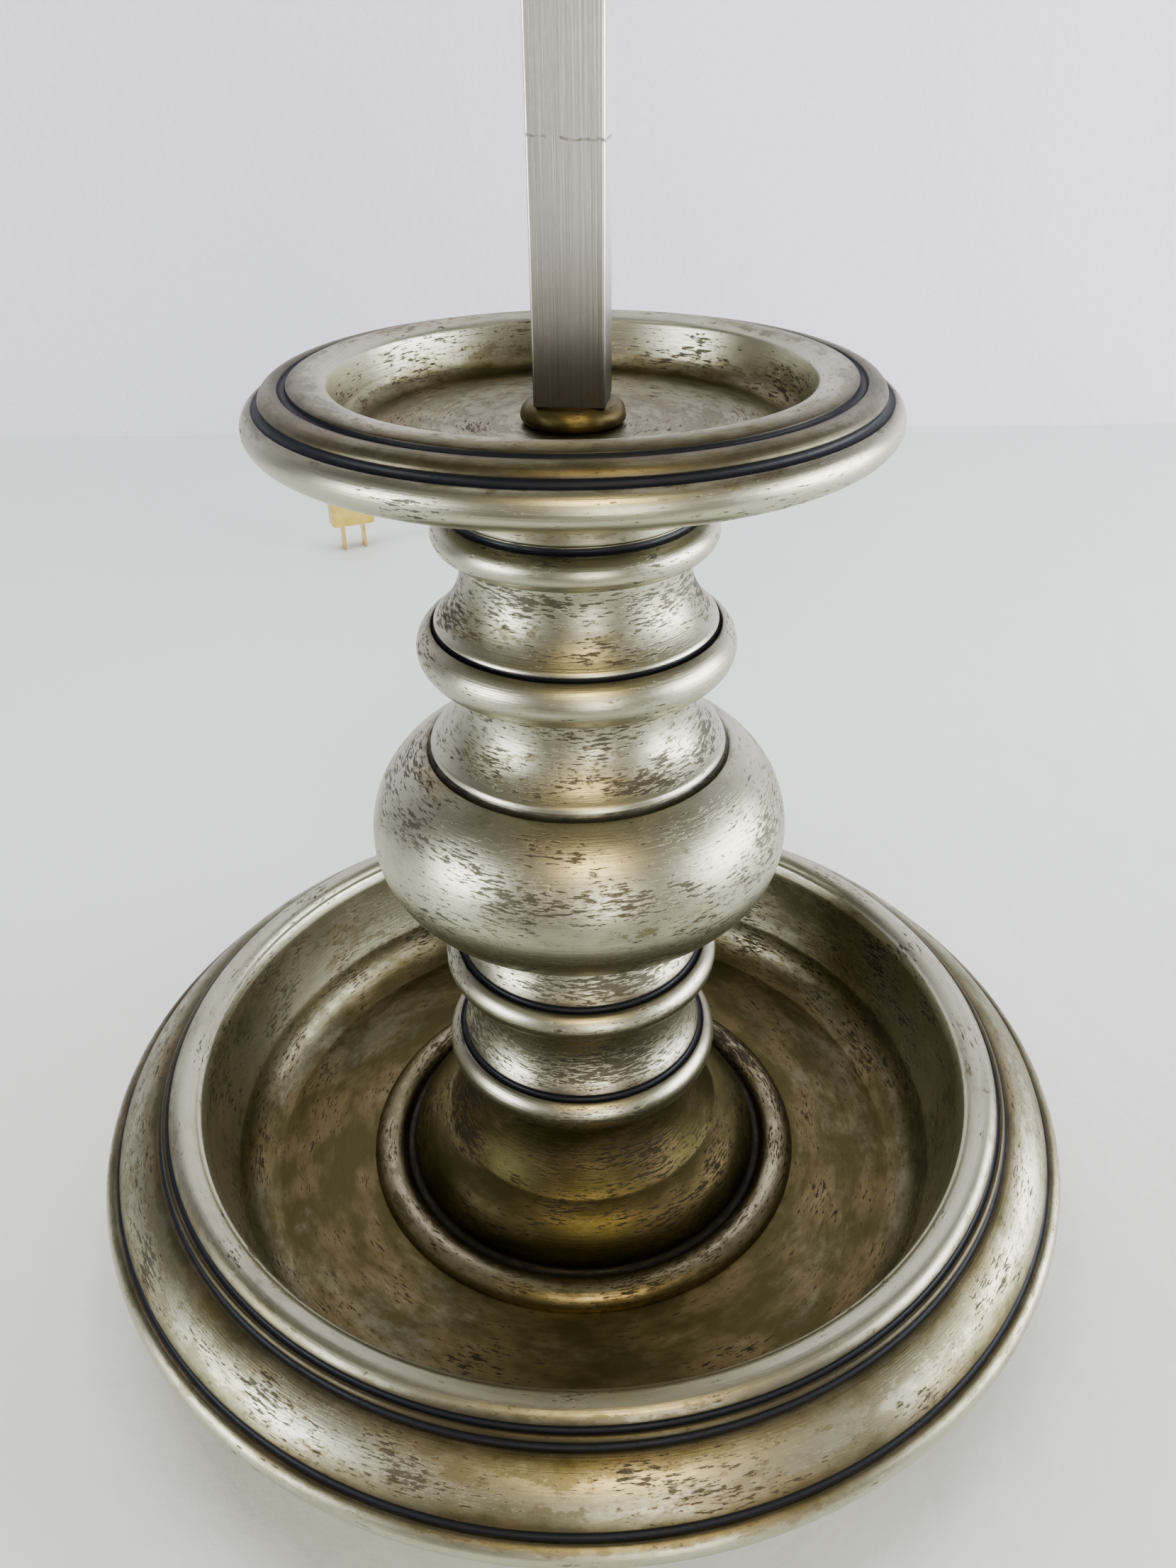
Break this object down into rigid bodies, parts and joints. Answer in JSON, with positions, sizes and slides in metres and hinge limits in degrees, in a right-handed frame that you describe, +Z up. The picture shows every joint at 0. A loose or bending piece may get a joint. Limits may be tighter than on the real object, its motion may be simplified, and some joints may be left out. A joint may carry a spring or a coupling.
{
  "type": "hurricane candle lamp",
  "caption": "Electric hurricane candle lamp: turned pewter candlestick stand with dish and drip pan, square post, sliding arms with candle lights under glass chimneys, and a mains lead.",
  "frame": {"origin": "on the lamp's vertical axis, in the plane of the felt that it stands on", "axes": "+Z up along the stem and post, -Y the post's front face with the clamp screw, +X and -X along the two arms; the mains lead leaves towards +Y"},
  "size_m": [0.3404, 0.6334, 0.609],
  "materials": {
    "antique_pewter": "satin, hand antiqued, dark patina in grooves",
    "dark_pewter": "heavily patinated satin",
    "brushed_nickel": "linear brushed",
    "cast_iron": "rough, painted black",
    "felt": "needled felt",
    "zinc": "zinc plated",
    "black_plastic": "moulded",
    "ivory": "satin, candle look",
    "blade_brass": "bright",
    "gold_cord": "translucent gold vinyl",
    "gold_plug": "translucent gold vinyl",
    "bulb_glass": "clear",
    "clear_glass": "clear blown"
  },
  "bodies": {
    "stand": {"felt_pad": "felt", "base_weight": "cast_iron", "cord_bushing": "black_plastic", "base_dish": "antique_pewter", "base_washer": "zinc", "base_nut": "zinc", "stem_pipe": "zinc", "bell_foot": "dark_pewter", "lower_bead": "antique_pewter", "upper_bead": "antique_pewter", "knop": "antique_pewter", "neck_bead": "antique_pewter", "shoulder": "antique_pewter", "pan_collar": "antique_pewter", "drip_pan": "antique_pewter", "post_ring": "dark_pewter", "post": "brushed_nickel", "post_cap": "antique_pewter", "finial": "antique_pewter", "cord_lead": "gold_cord", "cord_coil": "gold_cord", "cord_tail": "gold_cord", "plug_body": "gold_plug", "plug_prongs": "blade_brass"},
    "carriage": {"carriage_sleeve": "brushed_nickel", "arm_left": "antique_pewter", "switch_housing_left": "antique_pewter", "saucer_left": "antique_pewter", "gallery_left": "brushed_nickel", "gallery_screws_left": "brushed_nickel", "candle_cup_left": "antique_pewter", "candle_sleeve_left": "ivory", "socket_stem_left": "zinc", "lamp_socket_left": "black_plastic", "bulb_cap_left": "blade_brass", "bulb_glass_left": "bulb_glass", "arm_right": "antique_pewter", "switch_housing_right": "antique_pewter", "saucer_right": "antique_pewter", "gallery_right": "brushed_nickel", "gallery_screws_right": "brushed_nickel", "candle_cup_right": "antique_pewter", "candle_sleeve_right": "ivory", "socket_stem_right": "zinc", "lamp_socket_right": "black_plastic", "bulb_cap_right": "blade_brass", "bulb_glass_right": "bulb_glass"},
    "clamp_screw": {"clamp_screw": "brushed_nickel"},
    "switch_left": {"switch_key_left": "brushed_nickel"},
    "chimney_left": {"chimney_left": "clear_glass"},
    "switch_right": {"switch_key_right": "brushed_nickel"},
    "chimney_right": {"chimney_right": "clear_glass"}
  },
  "joints": [
    {"name": "carriage_slide", "type": "slide", "parent": "stand", "child": "carriage", "axis": [0, 0, 1], "range_m": [-0.07, 0.18]},
    {"name": "clamp_screw_turn", "type": "hinge", "parent": "carriage", "child": "clamp_screw", "pos_m": [0, -0.02, 0.335], "axis": [0, -1, 0], "range_deg": [0, 450]},
    {"name": "switch_turn_left", "type": "hinge", "parent": "carriage", "child": "switch_left", "pos_m": [-0.092, -0.015, 0.33], "axis": [0, -1, 0], "continuous": true},
    {"name": "chimney_lift_left", "type": "slide", "parent": "carriage", "child": "chimney_left", "axis": [0, 0, 1], "range_m": [0, 0.2]},
    {"name": "switch_turn_right", "type": "hinge", "parent": "carriage", "child": "switch_right", "pos_m": [0.092, -0.015, 0.33], "axis": [0, -1, 0], "continuous": true},
    {"name": "chimney_lift_right", "type": "slide", "parent": "carriage", "child": "chimney_right", "axis": [0, 0, 1], "range_m": [0, 0.2]}
  ]
}
